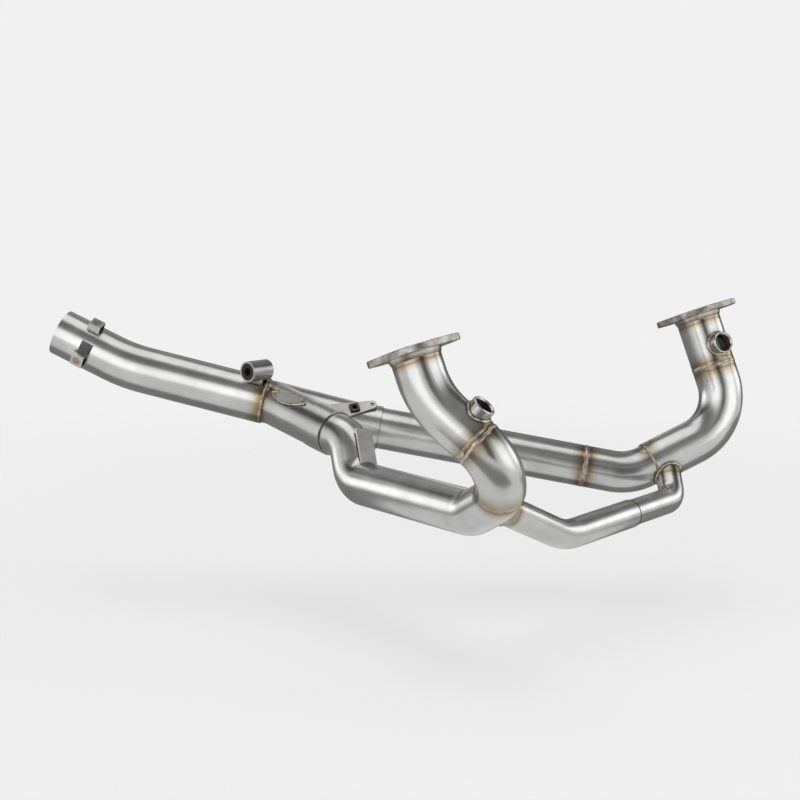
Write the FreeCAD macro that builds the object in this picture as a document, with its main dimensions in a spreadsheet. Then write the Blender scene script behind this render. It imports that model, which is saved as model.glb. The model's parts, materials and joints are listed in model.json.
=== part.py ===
# Motorcycle decat pipe: two headers, a crossover, a two-into-one collector and a tail pipe.
# Frame in millimetres: X forward, Y to the rider's left, Z up.
# The origin is the centre of the right port flange's seat face.
import FreeCAD, Part
import math
import os
import Sketcher

Vector = FreeCAD.Vector
Z_AXIS = Vector(0, 0, 1)

doc = FreeCAD.newDocument("decat_pipe")
sheet = doc.addObject("Spreadsheet::Sheet", "sizes")

# Driving sizes
SIZES = (
    ("port_spread", 444, "between the two port centres"),
    ("port_tilt", 20.5, "degrees the flange faces lean rearward"),
    ("port_roll", 4, "degrees the flange faces lean to the right"),
    ("header_od", 45, "header pipe outside diameter"),
    ("header_wall", 1.2, "wall of the header, collector and tail pipes"),
    ("slip_gap", 0.1, "radial clearance of a slip joint"),
    ("slip_depth", 18, "overlap of a slip joint"),
    ("knee_joint", 1, "right loop's bend to its upper weld"),
    ("branch_right", 4, "right loop's bend to the crossover's axis"),
    ("seam_share", 0.49, "share of the left drop above its weld"),
    ("front_joint", 97, "left front corner to its lower weld"),
    ("branch_left", 80, "left front corner to the crossover's axis"),
    ("run_joint", 48, "left low corner to the run's weld"),
    ("left_socket", 31, "collector's left corner to its left socket"),
    ("left_leg", 92, "collector's left corner to the tail pipe"),
    ("merge_back", 10, "tail pipe to the end of the right leg"),
    ("right_socket", 23, "riser's head to the collector's right socket"),
    ("socket_step", 0.8, "thicker wall at the collector's right socket"),
    ("socket_length", 26, "length of the collector's right socket"),
    ("tail_fit", 0.3, "radial clearance of the tail pipe over the collector"),
    ("cross_od", 28, "crossover outside diameter, right half"),
    ("cross_wall", 1, "crossover wall"),
    ("right_drop", 48, "right port to the first corner"),
    ("left_drop", 122, "left port to the first corner"),
    ("upper_bend", 85, "bend radius of the right upper pipe"),
    ("loop_bend", 44, "bend radius of the right loop"),
    ("loop_share", 0.72, "share of the loop's bend before its weld"),
    ("elbow_bend", 40, "bend radius after the right loop"),
    ("riser_bend", 30, "bend radius of the riser"),
    ("front_bend", 54, "bend radius of the left front pipe"),
    ("run_bend", 55, "bend radius at the left low point"),
    ("entry_bend", 200, "bend radius in the collector's left leg"),
    ("tail_bend", 180, "bend radius of the tail pipe"),
    ("cross_bend", 80, "bend radius of the crossover's low point"),
    ("cross_elbow", 26, "bend radius of the crossover's knee"),
    ("flange_thick", 6, "flange plate"),
    ("flange_edge", 0.6, "chamfer round a flange"),
    ("flange_hub", 62, "flange width across the port"),
    ("flange_ear", 20, "flange ear width"),
    ("bolt_span", 64, "between the two bolt holes of a flange"),
    ("bolt_hole", 8.5, "flange bolt hole"),
    ("ear_turn", 50, "degrees from the Y axis to the line of the bolt holes"),
    ("boss_lean_right", 8, "degrees the right lambda boss leans outward"),
    ("boss_lean_left", 22, "degrees the left lambda boss leans inward"),
    ("boss_back_right", 15, "right knee weld to the lambda boss's axis"),
    ("boss_back_left", 19, "left seam to the lambda boss's axis"),
    ("boss_od", 22, "lambda boss outside diameter"),
    ("boss_bore", 16.4, "lambda boss bore under its M18 thread"),
    ("boss_height", 9, "lambda boss above the pipe"),
    ("bead_width", 5, "weld bead width"),
    ("bead_height", 1.1, "weld bead height"),
    ("bead_edge", 0.3, "weld bead height at its edges"),
    ("collar_length", 5, "weld collar under a flange"),
    ("cross_split", 112, "crossover low point to its slip joint"),
    ("sleeve_length", 30, "outlet sleeve past the tail pipe"),
    ("sleeve_wall", 2, "outlet sleeve wall"),
    ("tab_length", 13, "outlet tab along the pipe"),
    ("tab_width", 13, "outlet tab across the pipe"),
    ("tab_height", 7.5, "outlet tab above the pipe"),
    ("tab_sheet", 1.2, "outlet tab sheet"),
    ("tab_over", 2, "outlet tab past the end of the tail pipe"),
    ("dimple_ball", 4.4, "ball that presses the dimple in an outlet tab"),
    ("dimple_rise", 0.7, "dimple above an outlet tab"),
    ("tab_turn_top", 23, "degrees round the outlet to its top tab"),
    ("tab_turn_front", 114, "degrees round the outlet to its front tab"),
    ("tab_turn_rear", 248, "degrees round the outlet to its rear tab"),
    ("slot_turn", 84, "degrees round the outlet to its first relief slot"),
    ("slot_length", 13, "relief slot along the pipe"),
    ("slot_width", 11.5, "relief slot across the pipe"),
    ("hanger_back", 11, "tail weld to the hanger's foot"),
    ("hanger_lean", 31, "degrees the hanger leans outward"),
    ("bush_od", 21, "hanger tube outside diameter"),
    ("bush_wall", 1.6, "hanger tube wall"),
    ("bush_length", 27, "hanger tube length"),
    ("bush_bore", 8.5, "bolt hole in the rubber bush"),
    ("bush_gap", 2.5, "hanger tube above the tail pipe"),
    ("web_length", 16, "hanger web along the pipe"),
    ("web_thick", 10, "hanger web across the pipe"),
    ("stay_back", 17, "collector's left corner to the stay bracket's foot"),
    ("stay_drop", 10, "stay bracket's foot below the pipe's crest line"),
    ("stay_lean", 46, "degrees the stay bracket's face leans outward"),
    ("stay_turn", 31, "degrees the stay bracket turns up from the pipe"),
    ("stay_length", 42, "between the centres of the stay bracket's round ends"),
    ("stay_wide", 20, "stay bracket width at its foot"),
    ("stay_narrow", 9.5, "stay bracket width at its tip"),
    ("stay_thick", 3, "stay bracket plate"),
    ("stay_hole", 4, "stay bracket hole"),
    ("nut_along", 23.1, "stay bracket's foot to the clip nut"),
    ("nut_side", 9, "clip nut across its sides"),
    ("nut_height", 4.5, "clip nut height"),
    ("nut_proud", 2.2, "clip nut above the stay bracket"),
    ("nut_bore", 5, "clip nut bore under its M6 thread"),
    ("leaf_back", 36, "end of the right leg to the crotch plate's middle"),
    ("leaf_lean", 36, "degrees the crotch plate's face leans outward"),
    ("leaf_turn", 6, "degrees the crotch plate turns toward the left leg"),
    ("leaf_length", 46, "crotch plate length"),
    ("leaf_width", 15, "crotch plate width"),
    ("leaf_thick", 2, "crotch plate sheet"),
    ("gusset_length", 42, "riser plate length"),
    ("gusset_width", 20, "riser plate width"),
    ("gusset_thick", 2, "riser plate sheet"),
)

# Corners of the pipe centre lines
CORNERS = (
    ("right_loop", 90, 41, -115),
    ("right_elbow", 12, 68, -155),
    ("right_foot", -173, 114, -156),
    ("right_head", -193, 126, -119),
    ("left_low", -21, 361, -164),
    ("left_entry", -243.5, 180, -112),
    ("tail_kink", -434, 47, -57),
    ("tail_end", -495, 9, -23),
    ("cross_low", 38, 171.5, -189),
    ("cross_knee", 30.5, 363, -183),
)

for row, (alias, value, note) in enumerate(SIZES, 1):
    sheet.set(f"A{row}", note)
    sheet.set(f"B{row}", str(value))
    sheet.setAlias(f"B{row}", alias)
for row, (name, *values) in enumerate(CORNERS, len(SIZES) + 1):
    sheet.set(f"A{row}", f"{name} corner")
    for column, axis, value in zip("BCD", "xyz", values):
        sheet.set(f"{column}{row}", str(value))
        sheet.setAlias(f"{column}{row}", f"{name}_{axis}")
doc.recompute()

# Radii that follow from the driving sizes, as sheet expressions
HEADER = "(sizes.header_od / 2)"
HEADER_BORE = "(sizes.header_od / 2 - sizes.header_wall)"
RUN = f"({HEADER_BORE} - sizes.slip_gap)"
RUN_BORE = f"({RUN} - sizes.header_wall)"
TAIL_BORE = f"({HEADER} + sizes.tail_fit)"
TAIL = f"({TAIL_BORE} + sizes.header_wall)"
SLEEVE_BORE = f"({TAIL} - sizes.sleeve_wall)"
CROSS = "(sizes.cross_od / 2)"
CROSS_BORE = "(sizes.cross_od / 2 - sizes.cross_wall)"
CROSS_IN = f"({CROSS_BORE} - sizes.slip_gap)"
CROSS_IN_BORE = f"({CROSS_IN} - sizes.cross_wall)"
BUSH = "(sizes.bush_od / 2)"
BUSH_BORE = "(sizes.bush_od / 2 - sizes.bush_wall)"


def size(alias):
    """A driving size from the sheet."""
    return float(sheet.get(alias))


def corner(name):
    """A corner of a centre line from the sheet."""
    return Vector(size(f"{name}_x"), size(f"{name}_y"), size(f"{name}_z"))


def toward(start, end):
    """The unit direction from one point to another."""
    return (end - start).normalize()


def along(start, end, distance):
    """The point at a distance from start on the line to end."""
    return start + toward(start, end) * distance


def square_to(direction, lean):
    """The part of lean that is square to a direction, as a unit vector."""
    return (lean - direction * lean.dot(direction)).normalize()


def between(first, second, degrees):
    """The unit vector turned from first to second by an angle."""
    angle = math.radians(degrees)
    return first * math.cos(angle) + second * math.sin(angle)


def aim(item, base, direction):
    """Stand an item on base with its own Z along direction."""
    item.Placement = FreeCAD.Placement(base, FreeCAD.Rotation(Z_AXIS, direction))


def orient(item, base, x_axis, z_axis):
    """Stand an item on base with its own X and Z along two square directions."""
    y_axis = z_axis.cross(x_axis)
    item.Placement = FreeCAD.Placement(base, FreeCAD.Rotation(x_axis, y_axis, z_axis, "ZXY"))


def bind(item, **sizes):
    """Tie an item's properties to sheet expressions."""
    for name, expression in sizes.items():
        item.setExpression(name, expression)
    return item


def rod(name, base, direction, radius, height):
    """A solid cylinder from base along direction."""
    item = bind(doc.addObject("Part::Cylinder", name), Radius=radius, Height=height)
    aim(item, base, direction)
    return item


def block(name, base, x_axis, z_axis, length, width, height, shift=("0", "0", "0")):
    """A box on two square directions; shift moves its corner in its own axes."""
    item = bind(doc.addObject("Part::Box", name), Length=length, Width=width, Height=height)
    orient(item, base, x_axis, z_axis)
    y_axis = z_axis.cross(x_axis)
    for axis in "xyz":
        parts = [f"({move}) * {getattr(way, axis):.9f}"
                 for move, way in zip(shift, (x_axis, y_axis, z_axis))]
        item.setExpression(f"Placement.Base.{axis}", f"{getattr(base, axis):.9f} + " + " + ".join(parts))
    return item


def cut(name, base, *tools):
    """What is left of base after the tools are taken out."""
    for number, tool in enumerate(tools, 1):
        last = number == len(tools)
        item = doc.addObject("Part::Cut", name if last else f"{name}_cut{number}")
        item.Base = base
        item.Tool = tool
        base = item
    return base


def fuse(name, *items):
    """Several solids joined into one."""
    item = doc.addObject("Part::MultiFuse", name)
    item.Shapes = list(items)
    item.Refine = True
    return item


def common(name, *items):
    """The space that several solids share."""
    item = doc.addObject("Part::MultiCommon", name)
    item.Shapes = list(items)
    return item


def route(name, corners, bends):
    """A centre line through the corners, with a tangent arc at each inner corner."""
    edges = []
    here = corners[0]
    for before, at, after, bend in zip(corners, corners[1:], corners[2:], bends):
        way_in = toward(before, at)
        way_out = toward(at, after)
        turn = way_in.getAngle(way_out)
        radius = size(bend)
        reach = radius * math.tan(turn / 2)
        start = at - way_in * reach
        end = at + way_out * reach
        middle = at + (way_out - way_in).normalize() * (radius / math.cos(turn / 2) - radius)
        if here.distanceToPoint(start) > 0.01:
            edges.append(Part.LineSegment(here, start).toShape())
        edges.append(Part.Arc(start, middle, end).toShape())
        here = end
    if here.distanceToPoint(corners[-1]) > 0.01:
        edges.append(Part.LineSegment(here, corners[-1]).toShape())
    line = doc.addObject("Part::Feature", name)
    line.Shape = Part.Wire(edges)
    return line


def split_bend(before, at, after, radius, share):
    """Two corners that make one bend in two steps, and the point where they meet."""
    way_in = toward(before, at)
    way_out = toward(at, after)
    turn = way_in.getAngle(way_out)
    reach = radius * math.tan(turn / 2)
    first = at - way_in * (reach - radius * math.tan(turn * share / 2))
    second = at + way_out * (reach - radius * math.tan(turn * (1 - share) / 2))
    return first, along(first, second, radius * math.tan(turn * share / 2)), second


def sweep(name, line, radius):
    """A round solid along a centre line."""
    first = line.Shape.Edges[0]
    ring = bind(doc.addObject("Part::Circle", f"{name}_ring"), Radius=radius)
    aim(ring, first.valueAt(first.FirstParameter), first.tangentAt(first.FirstParameter))
    item = doc.addObject("Part::Sweep", name)
    item.Sections = [ring]
    item.Spine = (line, [f"Edge{number}" for number in range(1, len(line.Shape.Edges) + 1)])
    item.Solid = True
    return item


def pipe(name, corners, bends, radius, bore):
    """The outside and the inside of a bent pipe, as two solids."""
    line = route(f"{name}_line", corners, bends)
    return sweep(f"{name}_outside", line, radius), sweep(f"{name}_inside", line, bore)


def bead(name, at, direction, radius, *seats):
    """A weld bead round a pipe: two short cones back to back, seated on what they join."""
    halves = []
    for side, way in enumerate((direction, -direction)):
        cone = bind(
            doc.addObject("Part::Cone", f"{name}_half{side}"),
            Radius1=f"{radius} + sizes.bead_height",
            Radius2=f"{radius} + sizes.bead_edge",
            Height="sizes.bead_width / 2",
        )
        aim(cone, at, way)
        halves.append(cone)
    return cut(name, fuse(f"{name}_ridge", *halves), *seats)


def saddle(name, at, direction, radius, main_way, main_radius, *seats):
    """A weld bead where a branch stands on a pipe, seated on both."""
    collar = rod(f"{name}_collar", at, direction, f"{radius} + sizes.bead_height", f"3 * {main_radius}")
    jacket = rod(
        f"{name}_jacket",
        at - main_way * 3 * size("cross_od"),
        main_way,
        f"{main_radius} + 1.5 * sizes.bead_height",
        "6 * sizes.cross_od",
    )
    return cut(name, common(f"{name}_band", collar, jacket), *seats)


# Port frames: both flange faces lean rearward and to the right alike
upright = between(Z_AXIS, Vector(-1, 0, 0), size("port_tilt"))
PORT_UP = between(upright, Vector(0, -1, 0), size("port_roll"))
PORT_FRONT = square_to(PORT_UP, Vector(1, 0, 0))
PORT_LEFT = PORT_UP.cross(PORT_FRONT)
EAR_WAY = between(PORT_LEFT, PORT_FRONT, size("ear_turn"))
right_port = Vector(0, 0, 0)
left_port = Vector(0, size("port_spread"), 0)

# Corners and joints of the centre lines
right_knee = right_port - PORT_UP * size("right_drop")
right_loop = corner("right_loop")
right_elbow = corner("right_elbow")
right_foot = corner("right_foot")
right_head = corner("right_head")
left_front = left_port - PORT_UP * size("left_drop")
left_low = corner("left_low")
left_entry = corner("left_entry")
tail_kink = corner("tail_kink")
tail_end = corner("tail_end")
cross_low = corner("cross_low")
cross_knee = corner("cross_knee")

loop_turn = toward(right_knee, right_loop).getAngle(toward(right_loop, right_elbow))
loop_reach = size("loop_bend") * math.tan(loop_turn / 2)
right_weld = along(right_loop, right_knee, loop_reach + size("knee_joint"))
loop_top, right_seam, loop_low = split_bend(
    right_knee, right_loop, right_elbow, size("loop_bend"), size("loop_share"))
cross_start = along(right_loop, right_elbow, loop_reach + size("branch_right"))
left_seam = left_port - PORT_UP * size("left_drop") * size("seam_share")
left_weld = along(left_front, left_low, size("front_joint"))
cross_finish = along(left_front, left_low, size("branch_left"))
left_joint = along(left_low, left_entry, size("run_joint"))
left_mouth = along(left_entry, left_low, size("left_socket"))
tail_start = along(left_entry, tail_kink, size("left_leg"))
merge = along(tail_start, left_entry, size("merge_back"))
right_mouth = along(right_head, merge, size("right_socket"))
cross_mouth = along(cross_low, cross_knee, size("cross_split"))
tail_mouth = along(tail_end, tail_kink, size("sleeve_length"))

tail_radius = size("header_od") / 2 + size("tail_fit") + size("header_wall")
MAIN_WAY = toward(tail_start, left_entry)
LEG_WAY = toward(merge, right_head)
OUTLET_WAY = toward(tail_kink, tail_end)
main_up = square_to(MAIN_WAY, Z_AXIS)
main_out = MAIN_WAY.cross(main_up)

# Flat plates with round ends
def drive(sketch, label, constraint, expression):
    """Add a size to a sketch and tie it to the sheet."""
    number = sketch.addConstraint(constraint)
    sketch.renameConstraint(number, label)
    sketch.setExpression(f"Constraints.{label}", expression)


def sketch_in(body, name):
    """A sketch on a body's own XY plane."""
    sketch = body.newObject("Sketcher::SketchObject", name)
    plane = next(item for item in body.Origin.OriginFeatures if item.Role == "XY_Plane")
    sketch.AttachmentSupport = (plane, [""])
    sketch.MapMode = "FlatFace"
    return sketch


def tongue(name, at, way, face):
    """A tapered plate with a round foot and a round tip."""
    foot = size("stay_wide") / 2
    tip = size("stay_narrow") / 2
    length = size("stay_length")
    open_angle = math.acos((foot - tip) / length)
    body = doc.addObject("PartDesign::Body", name)
    sketch = sketch_in(body, f"{name}_outline")
    edge = Vector(math.cos(open_angle), math.sin(open_angle), 0)
    low_edge = Vector(edge.x, -edge.y, 0)
    tip_at = Vector(length, 0, 0)
    tip_circle = Part.Circle(tip_at, Z_AXIS, tip)
    foot_circle = Part.Circle(Vector(0, 0, 0), Z_AXIS, foot)
    tip_arc = sketch.addGeometry(Part.ArcOfCircle(tip_circle, -open_angle, open_angle), False)
    top = sketch.addGeometry(Part.LineSegment(tip_at + edge * tip, edge * foot), False)
    foot_arc = sketch.addGeometry(
        Part.ArcOfCircle(foot_circle, open_angle, 2 * math.pi - open_angle), False)
    low = sketch.addGeometry(Part.LineSegment(low_edge * foot, tip_at + low_edge * tip), False)
    loop = [tip_arc, top, foot_arc, low]
    for piece, following in zip(loop, loop[1:] + loop[:1]):
        sketch.addConstraint(Sketcher.Constraint("Tangent", piece, 2, following, 1))
    sketch.addConstraint(Sketcher.Constraint("Coincident", foot_arc, 3, -1, 1))
    sketch.addConstraint(Sketcher.Constraint("PointOnObject", tip_arc, 3, -1))
    drive(sketch, "reach", Sketcher.Constraint("DistanceX", -1, 1, tip_arc, 3, length), "sizes.stay_length")
    drive(sketch, "foot", Sketcher.Constraint("Radius", foot_arc, foot), "sizes.stay_wide / 2")
    drive(sketch, "tip", Sketcher.Constraint("Radius", tip_arc, tip), "sizes.stay_narrow / 2")
    pad = body.newObject("PartDesign::Pad", f"{name}_plate")
    pad.Profile = sketch
    bind(pad, Length="sizes.stay_thick")
    orient(body, at, way, face)
    return body


def flange(name, at):
    """A two-bolt flange plate, with its seat face on the port."""
    hub = size("flange_hub") / 2
    ear = size("flange_ear") / 2
    half = size("bolt_span") / 2
    open_angle = math.acos((hub - ear) / half)
    cosine = math.cos(open_angle)
    sine = math.sin(open_angle)
    body = doc.addObject("PartDesign::Body", name)
    sketch = sketch_in(body, f"{name}_outline")

    def arc(x, radius, start, end):
        circle = Part.Circle(Vector(x, 0, 0), Z_AXIS, radius)
        return sketch.addGeometry(Part.ArcOfCircle(circle, start, end), False)

    def line(x_side, y_side, from_ear):
        ends = [
            Vector(x_side * (half + ear * cosine), y_side * ear * sine, 0),
            Vector(x_side * hub * cosine, y_side * hub * sine, 0),
        ]
        if not from_ear:
            ends.reverse()
        return sketch.addGeometry(Part.LineSegment(*ends), False)

    ear_right = arc(half, ear, -open_angle, open_angle)
    top_right = line(1, 1, True)
    hub_top = arc(0, hub, open_angle, math.pi - open_angle)
    top_left = line(-1, 1, False)
    ear_left = arc(-half, ear, math.pi - open_angle, math.pi + open_angle)
    low_left = line(-1, -1, True)
    hub_low = arc(0, hub, math.pi + open_angle, 2 * math.pi - open_angle)
    low_right = line(1, -1, False)
    loop = [ear_right, top_right, hub_top, top_left, ear_left, low_left, hub_low, low_right]
    for piece, following in zip(loop, loop[1:] + loop[:1]):
        sketch.addConstraint(Sketcher.Constraint("Tangent", piece, 2, following, 1))
    for piece in (hub_top, hub_low):
        sketch.addConstraint(Sketcher.Constraint("Coincident", piece, 3, -1, 1))
    sketch.addConstraint(Sketcher.Constraint("PointOnObject", ear_right, 3, -1))
    sketch.addConstraint(Sketcher.Constraint("Symmetric", ear_right, 3, ear_left, 3, -1, 1))
    sketch.addConstraint(Sketcher.Constraint("Equal", hub_top, hub_low))
    sketch.addConstraint(Sketcher.Constraint("Equal", ear_right, ear_left))

    bore = sketch.addGeometry(Part.Circle(Vector(0, 0, 0), Z_AXIS, size("header_od") / 2), False)
    sketch.addConstraint(Sketcher.Constraint("Coincident", bore, 3, -1, 1))
    holes = []
    for piece, x in ((ear_right, half), (ear_left, -half)):
        hole = sketch.addGeometry(Part.Circle(Vector(x, 0, 0), Z_AXIS, size("bolt_hole") / 2), False)
        sketch.addConstraint(Sketcher.Constraint("Coincident", hole, 3, piece, 3))
        holes.append(hole)
    sketch.addConstraint(Sketcher.Constraint("Equal", *holes))

    drive(sketch, "span", Sketcher.Constraint("DistanceX", ear_left, 3, ear_right, 3, 2 * half), "sizes.bolt_span")
    drive(sketch, "hub", Sketcher.Constraint("Radius", hub_top, hub), "sizes.flange_hub / 2")
    drive(sketch, "ear", Sketcher.Constraint("Radius", ear_right, ear), "sizes.flange_ear / 2")
    drive(sketch, "bore", Sketcher.Constraint("Radius", bore, size("header_od") / 2), f"{HEADER} + sizes.slip_gap")
    drive(sketch, "hole", Sketcher.Constraint("Radius", holes[0], size("bolt_hole") / 2), "sizes.bolt_hole / 2")
    pad = body.newObject("PartDesign::Pad", f"{name}_plate")
    pad.Profile = sketch
    pad.Reversed = True
    bind(pad, Length="sizes.flange_thick")
    doc.recompute()
    rim = [f"Edge{number}" for number, edge in enumerate(pad.Shape.Edges, 1)
           if not edge.isClosed() and edge.BoundBox.ZLength < 0.001]
    chamfer = body.newObject("PartDesign::Chamfer", f"{name}_chamfer")
    chamfer.Base = (pad, rim)
    bind(chamfer, Size="sizes.flange_edge")
    orient(body, at, EAR_WAY, PORT_UP)
    return body


def port_weld(name, at, outside):
    """The conical weld collar between a flange and its pipe."""
    cone = bind(
        doc.addObject("Part::Cone", f"{name}_cone"),
        Radius1=f"{HEADER} + 2 * sizes.bead_height",
        Radius2=f"{HEADER} + sizes.bead_edge",
        Height="sizes.collar_length",
    )
    aim(cone, at - PORT_UP * size("flange_thick"), -PORT_UP)
    return cut(name, cone, outside)


nodes = [flange("right_port_flange", right_port), flange("left_port_flange", left_port)]

# Header pipes, from the ports to the collector
right_start = right_port - PORT_UP
left_start = left_port - PORT_UP
right_upper, right_upper_in = pipe(
    "right_upper_pipe", [right_start, right_knee, right_weld], ["upper_bend"], HEADER, HEADER_BORE)
right_bend, right_bend_in = pipe(
    "right_loop_pipe", [right_weld, loop_top, right_seam], ["loop_bend"], HEADER, HEADER_BORE)
right_lower, right_lower_in = pipe(
    "right_lower_pipe",
    [along(right_seam, loop_low, -3), loop_low, right_elbow, right_foot, right_head,
     along(right_mouth, merge, size("slip_depth"))],
    ["loop_bend", "elbow_bend", "riser_bend", "riser_bend"], RUN, RUN_BORE)
left_upper, left_upper_in = pipe("left_upper_pipe", [left_start, left_seam], [], HEADER, HEADER_BORE)
left_bend, left_bend_in = pipe(
    "left_front_pipe", [left_seam, left_front, left_weld], ["front_bend"], HEADER, HEADER_BORE)
left_inner, left_inner_in = pipe(
    "left_inner_pipe", [along(left_weld, left_front, 8), left_low, left_joint], ["run_bend"], RUN, RUN_BORE)
left_run, left_run_in = pipe(
    "left_run_pipe", [left_joint, along(left_mouth, left_entry, size("slip_depth"))], [], RUN, RUN_BORE)

# Collector legs and tail pipe
left_leg, left_leg_in = pipe(
    "collector_left_leg", [left_mouth, left_entry, along(tail_start, tail_kink, 6)],
    ["entry_bend"], HEADER, HEADER_BORE)
right_leg_tube, right_leg_in = pipe("collector_right_leg", [right_mouth, merge], [], HEADER, HEADER_BORE)
right_collar = rod("right_collar", right_mouth, toward(right_mouth, merge),
                   f"{HEADER} + sizes.socket_step", "sizes.socket_length")
right_leg = fuse("right_leg_outside", right_leg_tube, right_collar)
tail, tail_in = pipe("tail_pipe", [tail_start, tail_kink, tail_mouth], ["tail_bend"], TAIL, TAIL_BORE)
sleeve, sleeve_in = pipe("outlet_sleeve", [tail_end, tail_mouth], [], TAIL, SLEEVE_BORE)

# Crossover
cross_right, cross_right_in = pipe(
    "crossover_right_pipe", [cross_start, cross_low, cross_mouth], ["cross_bend"], CROSS, CROSS_BORE)
cross_left, cross_left_in = pipe(
    "crossover_left_pipe",
    [along(cross_mouth, cross_low, size("slip_depth")), cross_knee, cross_finish],
    ["cross_elbow"], CROSS_IN, CROSS_IN_BORE)
CROSS_RIGHT_WAY = toward(cross_start, cross_low)
CROSS_LEFT_WAY = toward(cross_finish, cross_knee)

# Lambda bosses
RIGHT_PIPE_WAY = toward(right_knee, right_loop)
right_up = square_to(RIGHT_PIPE_WAY, Z_AXIS)
RIGHT_BOSS_WAY = between(right_up, RIGHT_PIPE_WAY.cross(right_up), size("boss_lean_right"))
right_boss_foot = along(right_weld, right_knee, size("boss_back_right"))
LEFT_BOSS_WAY = between(PORT_FRONT, -PORT_LEFT, size("boss_lean_left"))
left_boss_foot = along(left_seam, left_port, size("boss_back_left"))


def lambda_boss(name, foot, way, outside):
    """A threaded boss that stands on a pipe, and the drill that opens it."""
    post = rod(f"{name}_post", foot, way, "sizes.boss_od / 2", f"{HEADER} + sizes.boss_height")
    drill = rod(f"{name}_drill", foot, way, "sizes.boss_bore / 2", f"2 * {HEADER}")
    return cut(name, post, outside, drill), post, drill


right_boss, right_post, right_drill = lambda_boss(
    "right_lambda_boss", right_boss_foot, RIGHT_BOSS_WAY, right_upper)
left_boss, left_post, left_drill = lambda_boss(
    "left_lambda_boss", left_boss_foot, LEFT_BOSS_WAY, left_upper)
nodes += [right_boss, left_boss]

# Outlet: relief slots in the tail pipe's end and three folded tabs with a dimple each
outlet_up = square_to(OUTLET_WAY, Z_AXIS)
outlet_side = outlet_up.cross(OUTLET_WAY)
slots = []
for number in range(3):
    slot_face = between(outlet_up, outlet_side, size("slot_turn") + 120 * number)
    slots.append(block(
        f"relief_slot{number}", tail_mouth, -OUTLET_WAY, slot_face,
        "2 * sizes.slot_length", "sizes.slot_width", TAIL,
        ("-sizes.slot_length", "-sizes.slot_width / 2", f"{TAIL} / 2")))
for side in ("top", "front", "rear"):
    name = f"outlet_tab_{side}"
    radial = between(outlet_up, outlet_side, size(f"tab_turn_{side}"))
    shell = block(
        f"{name}_shell", tail_mouth, -OUTLET_WAY, radial,
        "sizes.tab_length", "sizes.tab_width", f"{TAIL} / 2 + sizes.tab_height",
        ("-sizes.tab_over", "-sizes.tab_width / 2", f"{TAIL} / 2"))
    ball = bind(doc.addObject("Part::Sphere", f"{name}_ball"), Radius="sizes.dimple_ball / 2")
    tab_rise = tail_radius + size("tab_height") + size("dimple_rise") - size("dimple_ball") / 2
    tab_middle = size("tab_length") / 2 - size("tab_over")
    ball.Placement.Base = tail_mouth - OUTLET_WAY * tab_middle + radial * tab_rise
    hollow = block(
        f"{name}_hollow", tail_mouth, -OUTLET_WAY, radial,
        "sizes.tab_length", "sizes.tab_width - 2 * sizes.tab_sheet",
        f"{TAIL} / 2 + sizes.tab_height - sizes.tab_sheet",
        ("sizes.tab_sheet - sizes.tab_over", "sizes.tab_sheet - sizes.tab_width / 2", f"{TAIL} / 2"))
    seat = rod(f"{name}_seat", along(tail_mouth, tail_end, size("tab_length")), -OUTLET_WAY, TAIL,
               "3 * sizes.tab_length")
    nodes.append(cut(name, fuse(f"{name}_dimpled", shell, ball), hollow, seat))

# Pipes with their bores, branch holes and saddle cuts
nodes += [
    cut("right_upper_pipe", right_upper, right_upper_in, right_drill),
    cut("right_loop_pipe", right_bend, right_bend_in),
    cut("right_lower_pipe", right_lower, right_lower_in,
        rod("right_branch_hole", cross_start, CROSS_RIGHT_WAY, CROSS_BORE, f"2 * {HEADER}")),
    cut("left_upper_pipe", left_upper, left_upper_in, left_drill),
    cut("left_front_pipe", left_bend, left_bend_in,
        rod("left_branch_hole", cross_finish, CROSS_LEFT_WAY, CROSS_IN_BORE, f"2 * {HEADER}")),
    cut("left_inner_pipe", left_inner, left_inner_in),
    cut("left_run_pipe", left_run, left_run_in),
    cut("collector_left_leg", left_leg, left_leg_in, right_leg_in),
    cut("collector_right_leg", right_leg, right_leg_in, left_leg),
    cut("tail_pipe", tail, tail_in, *slots),
    cut("outlet_sleeve", sleeve, sleeve_in),
    cut("crossover_right_pipe", cross_right, cross_right_in, right_lower, right_bend),
    cut("crossover_left_pipe", cross_left, cross_left_in, left_bend),
]

# Weld beads
LOOP_OUT = toward(loop_top, loop_low)
BRANCH_WAY = toward(right_loop, right_elbow)
LEFT_IN = toward(left_front, left_low)
RUN_WAY = toward(left_low, left_entry)
left_bead = bead("left_bend_weld", left_weld, LEFT_IN, HEADER, left_bend, left_inner, cross_left)
tail_bead = bead("tail_weld", tail_start, MAIN_WAY, TAIL, tail, left_leg, right_leg)
nodes += [
    left_bead,
    tail_bead,
    port_weld("right_port_weld", right_port, right_upper),
    port_weld("left_port_weld", left_port, left_upper),
    bead("right_knee_weld", right_weld, RIGHT_PIPE_WAY, HEADER, right_upper, right_bend, right_post),
    bead("right_loop_weld", right_seam, LOOP_OUT, HEADER, right_bend, right_lower, cross_right),
    bead("left_seam_weld", left_seam, PORT_UP, HEADER, left_upper, left_bend),
    bead("left_run_weld", left_joint, RUN_WAY, RUN, left_inner, left_run),
    saddle("right_boss_weld", right_boss_foot, RIGHT_BOSS_WAY, "sizes.boss_od / 2",
           RIGHT_PIPE_WAY, HEADER, right_upper, right_bend, right_post),
    saddle("left_boss_weld", left_boss_foot, LEFT_BOSS_WAY, "sizes.boss_od / 2",
           PORT_UP, HEADER, left_upper, left_post),
    saddle("crossover_right_weld", cross_start, CROSS_RIGHT_WAY, CROSS,
           BRANCH_WAY, HEADER, right_lower, right_bend, cross_right),
    saddle("crossover_left_weld", cross_finish, CROSS_LEFT_WAY, CROSS_IN,
           LEFT_IN, HEADER, left_bend, left_inner, cross_left, left_bead),
]

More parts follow.
